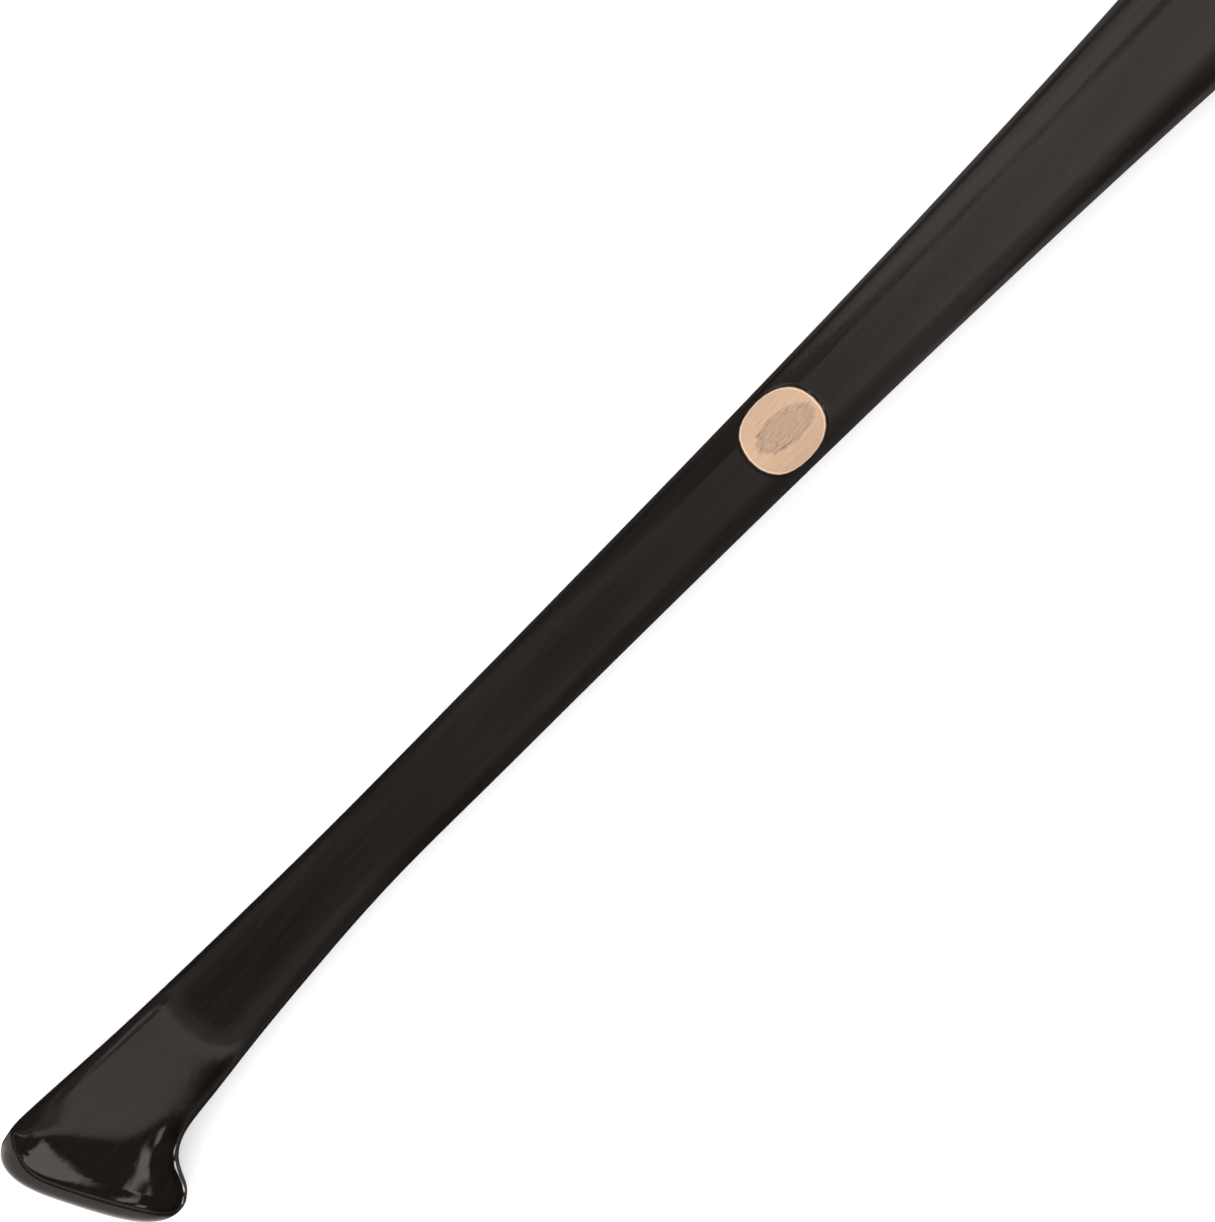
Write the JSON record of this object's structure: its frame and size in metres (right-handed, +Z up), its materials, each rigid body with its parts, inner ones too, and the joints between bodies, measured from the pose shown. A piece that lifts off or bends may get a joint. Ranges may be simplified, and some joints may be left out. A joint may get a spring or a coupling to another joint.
{
  "type": "baseball bat",
  "caption": "Solid wood baseball bat with an axe-style handle and hooked knob, cupped barrel end, black lacquer with a round bare window, lying on its side.",
  "frame": {"origin": "centre of the bounding box's base, on the surface that the bat lies on", "axes": "+X along the bat from the knob to the barrel end, +Z up through the handle's window, and the knob's hook points to -Y"},
  "size_m": [0.8392, 0.0668, 0.0654],
  "materials": {
    "maple": "bare sanded maple, fine straight grain",
    "lacquer": "gloss black lacquer over wood grain",
    "ink": "dried ink soaked into bare maple"
  },
  "bodies": {
    "root": {"maple_body": "maple", "lacquer_coat": "lacquer", "ink_dot": "ink"}
  },
  "joints": []
}
